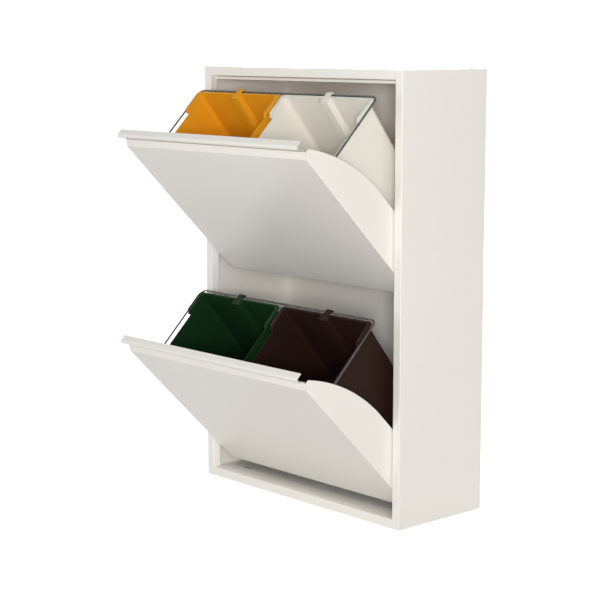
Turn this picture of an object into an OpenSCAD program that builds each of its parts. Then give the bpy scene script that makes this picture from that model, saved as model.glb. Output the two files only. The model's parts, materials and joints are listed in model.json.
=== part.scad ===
// Recycling cabinet: a shallow sheet steel case with two flaps that tilt out, one above the other.
// Each flap carries a wire hoop, and two plastic bins hang side by side in the hoop.
// Axes: +X to the right, +Y to the back, +Z up. The origin is the middle of the case's footprint.
// Both flaps are drawn open on their stops, and every flap piece is modelled upright in the
// closed flap's own frame: x from the middle, y back from the front face, z up from the bottom edge.

/* [Case] */
// Width of the case
case_w = 620; // [560:1:700]
// Depth of the case
case_d = 250; // [240:1:300]
// Height of the case
case_h = 940; // [900:1:1100]
// Thickness of the steel sheet
sheet = 1; // [0.8:0.1:1.2]
// Width of the face of the stiles and rails round the front opening
face_w = 20; // [16:1:30]
// Depth of the flange folded back from that face
return_d = 20; // [18:1:24]
// Height of the lip hanging from the top rail's return
top_lip_h = 8; // [4:1:8]
// Height of the floor plate's underside above the ground
floor_z = 15; // [12:1:17]
// Width of the flanges that the back panel is riveted to
rear_flange = 15; // [12:1:20]
// Depth of the stiffening channel under the floor
channel_w = 40; // [30:1:60]

/* [Floor slots and wall holes] */
// Distance between the two floor slots
slot_pitch = 484; // [400:1:500]
// Length of a floor slot, end to end
slot_l = 32; // [20:1:40]
// Width of a floor slot
slot_w = 12; // [8:1:14]
// Distance of the slots from the case's front
slot_y = 66; // [50:1:80]
// Distance between the wall fixing holes
wall_hole_pitch = 460; // [300:1:500]
// Diameter of a wall fixing hole
wall_hole_d = 8; // [6:0.5:10]
// Height of the wall fixing holes
wall_hole_z = 860; // [800:1:880]

/* [Flaps] */
// Angle at which an open flap rests on its stops
open_angle = 45; // [35:1:45]
// Gap round a closed flap
flap_gap = 3; // [3:0.5:5]
// Height at which the front face ends and the finger groove starts
groove_z = 409; // [380:1:409]
// Depth of the finger groove
groove_d = 10; // [6:1:11]
// How far the lip over the groove stands in front of the face
lip_out = 1.5; // [0:0.5:3]
// Depth of the flange on top of the lip
lip_top_d = 16; // [12:1:17]
// Depth of the flange along the bottom edge
bottom_flange = 18; // [12:1:20]
// Depth of the cheeks
cheek_d = 88.5; // [84:0.5:95]
// Height at which a cheek's rear edge starts to curve forward
cheek_curve_z = 205; // [180:1:220]
// Height of the top of a cheek
cheek_top_z = 421; // [400:1:422]
// Depth of a cheek at its top
cheek_top_d = 18; // [16:1:24]

/* [Pivots and stops] */
// Height of the pivot above the flap's bottom edge
pivot_up = 70; // [60:1:72]
// Depth of the pivot behind the front face
pivot_in = 13; // [12:0.5:13]
// Diameter of a pivot pin
pin_d = 6; // [5:0.5:6]
// Radial clearance of a pin in its bush
pin_play = 0.05; // [0.03:0.01:0.1]
// Outer diameter of a bush where it goes through the steel
bush_d = 10; // [9:0.5:10]
// Depth of a stop stud behind the front face
stud_in = 80; // [76:0.5:80]
// Diameter of a stop stud
stud_d = 5; // [4:0.5:5]
// Outer diameter of a stop stud's rubber sleeve
sleeve_d = 10; // [8:0.5:10]
// Diameter of a closing buffer
buffer_d = 12; // [10:0.5:14]
// Gap left between a stop stud and what it rests on
stop_gap = 0.3; // [0.2:0.1:0.5]

/* [Hoops] */
// Diameter of the hoop's wire
wire_d = 4; // [4:0.5:6]
// Height of the wire above the flap's bottom edge
wire_z = 350; // [330:1:352]
// Distance of the wire from the middle, at the sides
wire_x = 278; // [276:0.5:279]
// Depth of the wire's rear bar
wire_y = 222; // [200:1:224]
// Radius of the hoop's corners
wire_bend = 14; // [10:1:20]

/* [Bins] */
// Width of a bin over its side walls at the mouth
bin_w = 256; // [240:1:256]
// Width that a bin loses on each side towards its base
bin_side_taper = 7; // [2:1:12]
// Depth at which a bin's front wall stands
bin_front = 20; // [19:0.5:24]
// Depth of a bin's rear wall at the mouth
bin_back = 212; // [195:1:212]
// Depth that the rear wall loses towards the base
bin_back_taper = 40; // [20:1:50]
// Height of a bin's base above the flap's bottom edge
bin_base_z = 9; // [6:1:30]
// Wall thickness of a bin
bin_wall = 2; // [1.6:0.1:3]
// Radius of a bin's upright corners
bin_corner = 12; // [8:1:20]
// Depth at which the mouth's low front edge starts to rise
rise_y = 156; // [140:1:170]
// Height by which the rear of the mouth stands above its front
rise_h = 9; // [6:0.5:12]
// How far the rim stands out from the side walls
rim_w = 9; // [5:0.5:9]
// Thickness of the rim
rim_t = 2.2; // [1.6:0.1:3]
// Width of the channel down the rear wall
rib_w = 24; // [20:1:36]
// Depth of that channel
rib_d = 12; // [6:1:14]
// How far the hook hangs down behind the rear bar
hook_drop = 8; // [5:1:14]

/* [Hidden] */
$fn = 48;

enamel = [0.93, 0.92, 0.89];
zinc = [0.74, 0.75, 0.77];
nylon = [0.90, 0.90, 0.86];
rubber = [0.16, 0.16, 0.17];

half_w = case_w / 2;
front_y = -case_d / 2;
back_y = case_d / 2;
// Inner faces of the stiles and rails
open_x = half_w - face_w;
open_top = case_h - face_w;
open_bottom = face_w;
// Inner face of the side walls, and rear edge of the stiles' returns
wall_x = half_w - sheet;
lip_y = front_y + return_d;

// Both flaps fill the front opening, with the same gap above, between and below
flap_h = (open_top - open_bottom - 3 * flap_gap) / 2;
flap_half = open_x - flap_gap;
lower_z = open_bottom + flap_gap;
upper_z = lower_z + flap_h + flap_gap;

// Outer radius of the folds in the case, in the floor plate and in the flaps, and their flats
fold_r = 1.6;
floor_fold_r = 1.2;
flap_fold_r = 2;
fold_steps = 6;

// Rise of the sheet that leans back into the finger groove, and height of the lip's nose
groove_lean = 15;
lip_nose = 8.5;

// Circle through the cheek's top corner that runs on into its straight rear edge
cheek_rise = cheek_top_z - cheek_curve_z;
cheek_run = cheek_d - cheek_top_d;
cheek_r = (cheek_rise * cheek_rise + cheek_run * cheek_run) / (2 * cheek_run);

// A stop stud touches the rear of the stile's return when the flap is open
stud_back = stud_in - pivot_in;
stud_up = stud_back
    - (return_d - pivot_in + sleeve_d / 2 + stop_gap) / sin(open_angle);
stud_z = pivot_up + stud_up;
stud_r = norm([stud_back, stud_up]);
// A closing buffer stands square in the stud's path, where the closed flap stops
buffer_reach = (sleeve_d + buffer_d) / 2 + stop_gap;
buffer_y = front_y + stud_in + buffer_reach * stud_up / stud_r;
buffer_drop = stud_z - buffer_reach * stud_back / stud_r;

// Lengthways places of the pieces on a pivot, measured from the middle
bush_flange = 1.4;
pin_head = 1.5;
bush_end = open_x + sheet + 1.6;
clip_t = 1;
pin_end = bush_end + 3;
sleeve_end = half_w - 6;
buffer_x = open_x + 4;
wall_stud_r = 3;

// The rim lies on the hoop's side arms, and its hook reaches over the rear bar
rim_z = wire_z + wire_d / 2 + stop_gap;
rim_top = rim_z + rim_t;
rim_back = bin_back + 2.5;
rim_half = bin_w / 2 + rim_w;
bin_mid = wire_x - 1 - rim_half;
// Height of the mouth's low front edge, and depth over which the edge rises from it
edge_z = rim_top - rise_h;
rise_run = 7;
// Depth that the front wall gains towards the base, and number of sides of a bin's corner posts
front_taper = 2;
post_fn = 32;

function unit(v) = v / norm(v);
function left_of(v) = [-v.y, v.x] / norm(v);
function turned(v, a) = [v.x * cos(a) - v.y * sin(a), v.x * sin(a) + v.y * cos(a)];
function reversed(list) = [for (i = [len(list) - 1:-1:0]) list[i]];

// Points round one corner b of a folded sheet, at the distance off to the left of its centre line
function fold_points(a, b, c, off, r) =
    let (u = unit(b - a), v = unit(c - b),
         side = sign(u.x * v.y - u.y * v.x),
         angle = acos(u * v),
         centre = b - u * r * tan(angle / 2) + side * r * left_of(u))
    [for (k = [0:fold_steps])
        centre - side * (r - side * off) * turned(left_of(u), side * angle * k / fold_steps)];

// Points along one side of a folded sheet
function side_points(path, off, r) = let (last = len(path) - 1) [
    path[0] + off * left_of(path[1] - path[0]),
    for (i = [1:last - 1]) each fold_points(path[i - 1], path[i], path[i + 1], off, r),
    path[last] + off * left_of(path[last] - path[last - 1])];

// Section of a folded sheet along the centre line path
module folded(path, r_out = fold_r) {
    r = r_out - sheet / 2;
    polygon(concat(side_points(path, sheet / 2, r), reversed(side_points(path, -sheet / 2, r))));
}

// Sheet whose section is drawn in depth and height, running across the case between two places
module across(x0, x1) {
    translate([x0, 0, 0]) rotate([90, 0, 90]) linear_extrude(x1 - x0) children();
}

// Turned piece on an axis along X, its profile drawn as radius and place
module on_x_axis(profile) {
    rotate([0, 90, 0]) rotate_extrude() polygon(profile);
}

// A pair of like pieces, one on each side of the case
module both_sides() {
    children();
    mirror([1, 0, 0]) children();
}

// Moves pieces from the closed flap's own frame to the open flap, at one of the two heights
module on_flap(flap_z) {
    translate([0, front_y + pivot_in, flap_z + pivot_up]) rotate([open_angle, 0, 0])
        translate([0, -pivot_in, -pivot_up]) children();
}

/* The case */

// Side wall with the stile folded round its front edge and a flange for the back panel
module side_panel() {
    c = sheet / 2;
    difference() {
        linear_extrude(case_h) folded([
            [open_x + c, front_y + return_d], [open_x + c, front_y + c],
            [half_w - c, front_y + c], [half_w - c, back_y - sheet - c],
            [half_w - rear_flange, back_y - sheet - c]]);
        // The top plate lies on the ends of the flanges
        translate([open_x - 1, front_y + sheet, case_h - sheet])
            cube([face_w - sheet + 1, case_d - 2 * sheet, 2 * sheet]);
        for (z = [lower_z, upper_z])
            translate([open_x - 1, front_y + pivot_in, z + pivot_up])
                rotate([0, 90, 0]) cylinder(d = bush_d, h = sheet + 2);
        rivet_holes();
    }
}

module left_side_panel() {
    color(enamel) mirror([1, 0, 0]) side_panel();
}

module right_side_panel() {
    color(enamel) side_panel();
}

// Top plate, folded down into the top rail, whose return ends in a hanging lip
module top_panel() {
    c = sheet / 2;
    weld_y = lip_y + 10;
    color(enamel) difference() {
        union() {
            across(-open_x, open_x) folded([
                [lip_y - c, open_top - top_lip_h], [lip_y - c, open_top + c],
                [front_y + c, open_top + c], [front_y + c, case_h - c],
                [back_y - sheet - c, case_h - c],
                [back_y - sheet - c, case_h - rear_flange]]);
            both_sides() {
                translate([open_x, front_y + sheet, case_h - sheet])
                    cube([face_w - sheet, case_d - 2 * sheet, sheet]);
                // Flange welded to the side wall
                translate([wall_x - sheet, weld_y, case_h - rear_flange])
                    cube([sheet, back_y - rear_flange - weld_y, rear_flange - c]);
            }
        }
        rivet_holes();
    }
}

// One slot in the floor plate, its length across the case
module floor_slot() {
    run = (slot_l - slot_w) / 2;
    for (x = [-run, run]) translate([x, 0, 0]) cylinder(d = slot_w, h = 4 * sheet);
    translate([-run, -slot_w / 2, 0]) cube([2 * run, slot_w, 4 * sheet]);
}

// Floor plate, folded up over the bottom rail at the front and down to the ground at the back
module floor_panel() {
    c = sheet / 2;
    side_y = lip_y + 2 * sheet;
    color(enamel) difference() {
        union() {
            across(-open_x, open_x) folded([
                [front_y + c, 0], [front_y + c, open_bottom - c],
                [lip_y + c, open_bottom - c], [lip_y + c, floor_z + c],
                [back_y - sheet - c, floor_z + c], [back_y - sheet - c, 0]], floor_fold_r);
            both_sides() translate([open_x, side_y, floor_z])
                cube([face_w - sheet, back_y - 3 * sheet - side_y, sheet]);
        }
        both_sides() translate([slot_pitch / 2, front_y + slot_y, floor_z - sheet]) floor_slot();
        rivet_holes();
    }
}

// Hat-shaped channel that carries the middle of the floor plate on the ground
module floor_channel() {
    c = sheet / 2;
    brim = 10;
    half = channel_w / 2;
    color(enamel) across(-wall_x + 1, wall_x - 1) folded([
        [-half - brim, floor_z - c], [-half + c, floor_z - c], [-half + c, c],
        [half - c, c], [half - c, floor_z - c], [half + brim, floor_z - c]]);
}

// Places of the rivets round the edge of the back panel, as [x, z]
rivet_x = half_w - rear_flange / 2;
rivet_places = concat(
    [for (x = [-rivet_x, rivet_x], k = [0:4]) [x, 40 + k * (case_h - 80) / 4]],
    [for (x = [-150, 150], z = [floor_z / 2, case_h - rear_flange / 2]) [x, z]]);
rivet_d = 3.2;

module rivet_holes() {
    for (p = rivet_places) translate([p.x, back_y + 1, p.y])
        rotate([90, 0, 0]) cylinder(d = rivet_d, h = 2 * sheet + 2);
}

module back_panel() {
    color(enamel) difference() {
        translate([-half_w, back_y - sheet, 0]) cube([case_w, sheet, case_h]);
        both_sides() translate([wall_hole_pitch / 2, back_y - 2 * sheet, wall_hole_z])
            rotate([-90, 0, 0]) cylinder(d = wall_hole_d, h = 4 * sheet);
        rivet_holes();
    }
}

// Rivets, flush with the back panel's outside and headed inside the flanges
module back_panel_rivets() {
    r = rivet_d / 2;
    grip = 2 * sheet;
    color(zinc) for (p = rivet_places)
        translate([p.x, back_y, p.y]) rotate([90, 0, 0]) rotate_extrude() polygon([
            [0, 0], [r, 0], [r, grip], [r + 1.5, grip], [r + 0.9, grip + 0.9], [0, grip + 0.9]]);
}

/* Pivots and stops on the case */

// Flanged bush, pushed into the stile's return from the inside and held by its snap ring
module bush() {
    bore = pin_d / 2 + pin_play;
    r = bush_d / 2;
    on_x_axis([
        [bore, open_x - bush_flange], [r + 1.6, open_x - bush_flange], [r + 1.6, open_x],
        [r, open_x], [r, open_x + sheet], [r + 0.8, open_x + sheet + 0.2],
        [r - 0.4, bush_end], [bore, bush_end]]);
}

module bushes(flap_z) {
    color(nylon) both_sides()
        translate([0, front_y + pivot_in, flap_z + pivot_up]) bush();
}

// Buffer studs welded to the side walls, each with a head that keeps its rubber sleeve on
module wall_studs() {
    color(zinc) both_sides() for (z = [lower_z, upper_z])
        translate([0, buffer_y, z + buffer_drop]) on_x_axis([
            [0, buffer_x - 1], [wall_stud_r + 1, buffer_x - 1],
            [wall_stud_r + 1.6, buffer_x - 0.4], [wall_stud_r + 1.6, buffer_x],
            [wall_stud_r, buffer_x], [wall_stud_r, wall_x], [0, wall_x]]);
}

// Rubber sleeves on those studs, where the closed flaps' stop studs come to rest
module wall_buffers(flap_z) {
    r = buffer_d / 2;
    color(rubber) both_sides() translate([0, buffer_y, flap_z + buffer_drop]) on_x_axis([
        [wall_stud_r, buffer_x], [r - 0.6, buffer_x], [r, buffer_x + 0.6], [r, wall_x],
        [wall_stud_r, wall_x]]);
}

/* One flap, in its own upright frame */

// Front sheet with the finger groove and rounded lip folded into its top
module flap_front() {
    c = sheet / 2;
    color(enamel) across(-flap_half, flap_half) folded([
        [bottom_flange, c], [c, c], [c, groove_z], [groove_d + c, groove_z + groove_lean],
        [c - lip_out, flap_h - lip_nose], [c - lip_out, flap_h - c], [lip_top_d, flap_h - c]],
        flap_fold_r);
}

// Side of the flap, its rear edge curving forward to the lip, with a weld flange at the front
module flap_cheek() {
    c = sheet / 2;
    weld_w = 13;
    low = flap_fold_r;
    slack = sheet + 0.2;
    bend_z = groove_z - sheet;
    color(enamel) difference() {
        intersection() {
            linear_extrude(cheek_top_z) folded([
                [flap_half - weld_w, sheet + c], [flap_half - c, sheet + c],
                [flap_half - c, cheek_d]]);
            across(flap_half - weld_w, flap_half) union() {
                translate([0, low]) square([cheek_d, cheek_curve_z - low]);
                intersection() {
                    translate([0, low]) square([cheek_d, cheek_top_z - low]);
                    translate([cheek_d - cheek_r, cheek_curve_z]) circle(cheek_r, $fn = 180);
                }
            }
        }
        // The front sheet leans back into the groove here
        across(flap_half - weld_w - 1, flap_half + 1) polygon([
            [0, bend_z], [slack, bend_z], [groove_d + slack, groove_z + groove_lean],
            [0, groove_z + groove_lean]]);
        for (p = [[pivot_in, pivot_up, pin_d], [stud_in, stud_z, stud_d]])
            translate([flap_half - 3, p[0], p[1]]) rotate([0, 90, 0]) cylinder(d = p[2], h = 5);
    }
}

// Hat channel welded across the front sheet, which the bins lean against
module flap_stiffener() {
    c = sheet / 2;
    middle_z = 170;
    end_x = flap_half - 16;
    brim = 36;
    foot = 20;
    crest = 14;
    crest_y = bin_front - 0.6 - c;
    color(enamel) across(-end_x, end_x) translate([0, middle_z]) folded([
        [sheet + c, -brim], [sheet + c, -foot], [crest_y, -crest],
        [crest_y, crest], [sheet + c, foot], [sheet + c, brim]]);
}

// Wire bent into a U, its ends welded to brackets on the cheeks
module hoop() {
    start = bin_front + 1;
    color(zinc) {
        both_sides() translate([wire_x, start, wire_z]) rotate([-90, 0, 0])
            cylinder(d = wire_d, h = wire_y - wire_bend - start);
        both_sides() translate([wire_x - wire_bend, wire_y - wire_bend, wire_z])
            rotate_extrude(angle = 90) translate([wire_bend, 0]) circle(d = wire_d);
        translate([-wire_x + wire_bend, wire_y, wire_z]) rotate([0, 90, 0])
            cylinder(d = wire_d, h = 2 * (wire_x - wire_bend));
    }
}

// Brackets on the cheeks, each a small channel that an end of the wire is welded into
module hoop_brackets() {
    start = bin_front + 3;
    bracket_l = 24;
    plate = 1.2;
    plate_w = 20;
    reach = flap_half - sheet - wire_x;
    color(zinc) both_sides() translate([wire_x, start + bracket_l, wire_z]) rotate([90, 0, 0])
        linear_extrude(bracket_l) difference() {
            union() {
                translate([0, -wire_d / 2 - plate]) square([reach, wire_d + 2 * plate]);
                translate([reach - plate, -plate_w / 2]) square([plate, plate_w]);
            }
            circle(d = wire_d);
            translate([0, -wire_d / 2]) square([reach - plate, wire_d]);
        }
}

// Headed pins with a shoulder that spaces the cheek from the bush
module pivot_pins() {
    r = pin_d / 2;
    inner = flap_half - sheet;
    spacer = open_x - bush_flange - stop_gap;
    color(zinc) both_sides() translate([0, pivot_in, pivot_up]) on_x_axis([
        [0, inner - pin_head], [r + 2, inner - pin_head], [r + 3, inner - 1], [r + 3, inner],
        [r, inner], [r, flap_half], [r + 2, flap_half], [r + 2, spacer],
        [r, spacer], [r, pin_end - 0.8], [r - 0.8, pin_end], [0, pin_end]]);
}

// Push-on washers that keep the pins in their bushes
module pin_clips() {
    start = bush_end + 0.4;
    color(zinc) both_sides() translate([0, pivot_in, pivot_up]) on_x_axis([
        [pin_d / 2, start], [pin_d / 2 + 2.6, start + 0.4], [pin_d / 2 + 2.6, start + clip_t],
        [pin_d / 2, start + clip_t]]);
}

// Steel studs riveted to the cheeks
module stop_studs() {
    r = stud_d / 2;
    inner = flap_half - sheet;
    color(zinc) both_sides() translate([0, stud_in, stud_z]) on_x_axis([
        [0, inner - 1.4], [r + 0.5, inner - 1.4], [r + 1.7, inner - 0.6], [r + 1.7, inner],
        [r, inner], [r, sleeve_end], [r + 1.5, sleeve_end], [r + 1.5, sleeve_end + 1],
        [0, sleeve_end + 1]]);
}

// Rubber sleeves on the studs
module stop_sleeves() {
    r = sleeve_d / 2;
    color(rubber) both_sides() translate([0, stud_in, stud_z]) on_x_axis([
        [stud_d / 2, flap_half], [r - 0.5, flap_half], [r, flap_half + 0.5],
        [r, sleeve_end - 0.5], [r - 0.5, sleeve_end], [stud_d / 2, sleeve_end]]);
}

/* Bins */

// Rectangle between two corners, with one radius at the front corners and one at the back
module rounded(low, high, r_front, r_back) {
    w = high.x - low.x;
    translate([low.x + r_front, low.y]) square([w - 2 * r_front, r_front + 1]);
    translate([low.x, low.y + r_front]) square([w, high.y - low.y - r_front - r_back]);
    translate([low.x + r_back, high.y - r_back - 1]) square([w - 2 * r_back, r_back + 1]);
    for (x = [low.x + r_front, high.x - r_front]) translate([x, low.y + r_front]) circle(r_front);
    for (x = [low.x + r_back, high.x - r_back]) translate([x, high.y - r_back]) circle(r_back);
}

// Upright posts at the corners of such a rectangle
module corner_posts(low, high, r, z) {
    for (x = [low.x + r, high.x - r], y = [low.y + r, high.y - r]) translate([x, y, z])
        cylinder(r = r, h = 1, $fn = post_fn);
}

// Tapered body between base and mouth, drawn inset from the outer surface
module bin_body(inset, base, top) {
    half = bin_w / 2 - inset;
    front = bin_front + inset;
    back = bin_back - inset;
    r = bin_corner - inset;
    hull() {
        corner_posts([-half, front], [half, back], r, top - 1);
        corner_posts([-half + bin_side_taper, front + front_taper],
                     [half - bin_side_taper, back - bin_back_taper], r, base);
    }
}

// Profile of the space above the mouth's low front
module above_front() {
    across(-rim_half, rim_half) polygon([
        [0, edge_z], [rise_y, edge_z], [rise_y + rise_run, rim_top],
        [rise_y + rise_run, rim_top + 2], [0, rim_top + 2]]);
}

// Depth of the rear wall's outer surface at a height
function bin_rear(z) = bin_back - bin_back_taper * (rim_top - z) / (rim_top - bin_base_z);

// Bar down the middle of the rear wall; drawn inset, it is the channel behind that bar
module rib_bar(inset, low, high) {
    across(-rib_w / 2 + inset, rib_w / 2 - inset) polygon([
        [bin_rear(low) - rib_d + inset, low], [bin_rear(low) - bin_wall / 2 + 4 * inset, low],
        [bin_rear(high) - bin_wall / 2 + 4 * inset, high],
        [bin_rear(high) - rib_d + inset, high]]);
}

// Flat rim round the rear of the mouth, whose wings lie on the hoop
module bin_rim() {
    half = bin_w / 2 - bin_wall;
    r = bin_corner - bin_wall;
    linear_extrude(rim_t) difference() {
        rounded([-rim_half, rise_y + rise_run], [rim_half, rim_back], 1, bin_corner);
        rounded([-half, bin_front + bin_wall], [half, bin_back - bin_wall], r, r);
    }
}

// Slanting webs that close the front ends of the rim's wings, inside the wire
module wing_ends() {
    both_sides() across(bin_w / 2 - bin_wall, wire_x - wire_d / 2 - 2 - bin_mid) polygon([
        [rise_y, edge_z], [rise_y + bin_wall, edge_z],
        [rise_y + rise_run + bin_wall, rim_top], [rise_y + rise_run, rim_top]]);
}

// Hook that reaches over the hoop's rear bar from the top of the channel
module bin_hook() {
    behind = wire_y + wire_d / 2 + 1;
    across(-rib_w / 2, rib_w / 2) polygon([
        [bin_back - bin_wall, rim_z], [bin_back - bin_wall, rim_top],
        [behind + bin_wall, rim_top], [behind + bin_wall, rim_z - hook_drop],
        [behind, rim_z - hook_drop], [behind, rim_z]]);
}

module bin_shape() {
    difference() {
        union() {
            difference() {
                bin_body(0, bin_base_z, rim_top);
                bin_body(bin_wall, bin_base_z + bin_wall, rim_top + 1);
                above_front();
            }
            translate([0, 0, rim_z]) bin_rim();
            wing_ends();
            rib_bar(0, bin_base_z, rim_top);
        }
        rib_bar(bin_wall, bin_base_z - 1, rim_z - bin_wall);
    }
    bin_hook();
}

// A bin in its place: the place is -1 on the left and 1 on the right
module hung_bin(place, flap_z, tint) {
    color(tint) on_flap(flap_z) translate([place * bin_mid, 0, 0]) bin_shape();
}

module yellow_bin() { hung_bin(-1, upper_z, [0.92, 0.62, 0.10]); }
module white_bin() { hung_bin(1, upper_z, [0.91, 0.89, 0.85]); }
module green_bin() { hung_bin(-1, lower_z, [0.08, 0.32, 0.18]); }
module brown_bin() { hung_bin(1, lower_z, [0.22, 0.13, 0.10]); }

left_side_panel();
right_side_panel();
top_panel();
floor_panel();
floor_channel();
back_panel();
back_panel_rivets();
bushes(upper_z);  // upper_bushes
bushes(lower_z);  // lower_bushes
wall_studs();
wall_buffers(upper_z);  // upper_wall_buffers
wall_buffers(lower_z);  // lower_wall_buffers
on_flap(upper_z) flap_front();  // upper_front
on_flap(upper_z) mirror([1, 0, 0]) flap_cheek();  // upper_left_cheek
on_flap(upper_z) flap_cheek();  // upper_right_cheek
on_flap(upper_z) flap_stiffener();  // upper_stiffener
on_flap(upper_z) hoop();  // upper_hoop
on_flap(upper_z) hoop_brackets();  // upper_hoop_brackets
on_flap(upper_z) pivot_pins();  // upper_pivot_pins
on_flap(upper_z) pin_clips();  // upper_pin_clips
on_flap(upper_z) stop_studs();  // upper_stop_studs
on_flap(upper_z) stop_sleeves();  // upper_stop_sleeves
on_flap(lower_z) flap_front();  // lower_front
on_flap(lower_z) mirror([1, 0, 0]) flap_cheek();  // lower_left_cheek
on_flap(lower_z) flap_cheek();  // lower_right_cheek
on_flap(lower_z) flap_stiffener();  // lower_stiffener
on_flap(lower_z) hoop();  // lower_hoop
on_flap(lower_z) hoop_brackets();  // lower_hoop_brackets
on_flap(lower_z) pivot_pins();  // lower_pivot_pins
on_flap(lower_z) pin_clips();  // lower_pin_clips
on_flap(lower_z) stop_studs();  // lower_stop_studs
on_flap(lower_z) stop_sleeves();  // lower_stop_sleeves
yellow_bin();
white_bin();
green_bin();
brown_bin();
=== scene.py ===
"""Recycling cabinet: a shallow steel case, two tilting flaps and four waste bins.

The file is laid out as an add-on and run as a script. It dresses the CAD frame: every
operator below makes one piece, or one group of like pieces, and hands it to its body.
"""

import json
import math

import bmesh
import bpy
from bpy.props import FloatProperty, FloatVectorProperty, IntProperty, PointerProperty
from mathutils import Matrix, Vector


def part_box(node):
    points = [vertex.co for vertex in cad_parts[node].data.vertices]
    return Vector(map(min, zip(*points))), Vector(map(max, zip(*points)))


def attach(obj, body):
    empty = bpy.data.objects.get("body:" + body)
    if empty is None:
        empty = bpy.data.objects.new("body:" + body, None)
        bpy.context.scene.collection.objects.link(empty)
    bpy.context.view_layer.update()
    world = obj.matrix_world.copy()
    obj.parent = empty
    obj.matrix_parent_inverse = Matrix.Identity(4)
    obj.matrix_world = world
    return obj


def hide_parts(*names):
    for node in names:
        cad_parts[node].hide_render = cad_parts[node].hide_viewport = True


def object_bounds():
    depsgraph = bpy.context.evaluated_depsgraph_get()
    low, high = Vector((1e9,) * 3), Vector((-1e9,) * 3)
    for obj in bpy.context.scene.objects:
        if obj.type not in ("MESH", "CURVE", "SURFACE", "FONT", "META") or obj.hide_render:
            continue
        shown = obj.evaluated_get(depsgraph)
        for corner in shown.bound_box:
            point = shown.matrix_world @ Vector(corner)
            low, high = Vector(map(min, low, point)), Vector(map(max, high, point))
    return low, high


bl_info = {
    "name": "Recycling cabinet",
    "version": (1, 0, 0),
    "blender": (4, 5, 0),
    "location": "3D View > Sidebar > Cabinet",
    "description": "Builds a steel recycling cabinet with two tilting flaps and four bins",
    "category": "Object",
}

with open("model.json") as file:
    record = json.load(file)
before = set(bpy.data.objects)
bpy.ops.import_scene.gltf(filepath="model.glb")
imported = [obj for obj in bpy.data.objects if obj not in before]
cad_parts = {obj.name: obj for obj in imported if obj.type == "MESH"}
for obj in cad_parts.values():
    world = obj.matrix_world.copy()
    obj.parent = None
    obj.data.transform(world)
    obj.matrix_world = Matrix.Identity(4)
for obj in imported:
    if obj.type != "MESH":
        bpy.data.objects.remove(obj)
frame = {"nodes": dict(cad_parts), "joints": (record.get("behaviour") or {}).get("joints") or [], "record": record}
CAD_LOW, CAD_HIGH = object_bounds()
SIDE_LOW, SIDE_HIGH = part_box("right_side_panel")
_, BACK_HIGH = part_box("back_panel")
HINGES = {j["child"]: Vector(j["pos_m"]) for j in frame["joints"] if j["type"] == "hinge"}
MM = 0.001
EPS = 1e-6
# Broken edges of the case's sheets, of the sheets that hands touch, and of plastic and wire
CASE_EDGE, TOUCHED_EDGE, SOFT_EDGE = 0.2 * MM, 0.25 * MM, 0.5 * MM
SHARP, SMOOTH, FOLD_STEPS = math.radians(50), math.radians(40), 8
CUTTER = 10 * MM
SIDES = {"left": -1, "right": 1}
LEVELS = ("upper", "lower")
# Place, size and tint of each lamp, whose power is a setting; all are aimed at one point
LAMPS_AIM = Vector((0, 0, 0.45))
LAMPS = {
    "key": ((6.3, -3.8, 1.8), 0.9, (1.0, 0.95, 0.87)),
    "soft": ((4.2, -4.2, 1.2), 2.6, (1.0, 0.975, 0.94)),
    "front": ((3.5, -3.3, 1.05), 0.6, (1.0, 0.975, 0.93)),
    "top": ((-0.5, 1.8, 3.5), 1.5, (1.0, 1.0, 1.0)),
    "left": ((-3.5, -4.5, 1.2), 2.6, (1.0, 1.0, 1.0)),
    "rear": ((-3.5, 4.2, 1.6), 2.5, (1.0, 1.0, 1.0)),
}
BINS = {
    "yellow_bin": ("upper", -1),
    "white_bin": ("upper", 1),
    "green_bin": ("lower", -1),
    "brown_bin": ("lower", 1),
}


def length(name, description, millimetres, least=0.0, most=2000.0):
    """A length setting, given in millimetres and kept in metres."""
    return FloatProperty(
        name=name, description=description, default=millimetres * MM, min=least * MM,
        max=most * MM, subtype="DISTANCE", unit="LENGTH", precision=4,
    )


def number(name, description, default, least, most, **kind):
    """A plain number, or a quantity whose kind is named."""
    return FloatProperty(
        name=name, description=description, default=default, min=least, max=most, **kind)


def power(name, description, watts):
    """The power of a lamp in watts."""
    return number(name, description, watts, 0.0, 500.0, subtype="POWER", unit="POWER")


def angle(name, description, degrees):
    """An angle, given in degrees and kept in radians."""
    return number(
        name, description, math.radians(degrees), 0.0, math.radians(90), subtype="ANGLE")


def colour(name, description, red, green, blue):
    """A colour setting in linear red, green and blue."""
    return FloatVectorProperty(
        name=name, description=description, default=(red, green, blue, 1.0), size=4,
        min=0.0, max=1.0, subtype="COLOR",
    )


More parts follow.
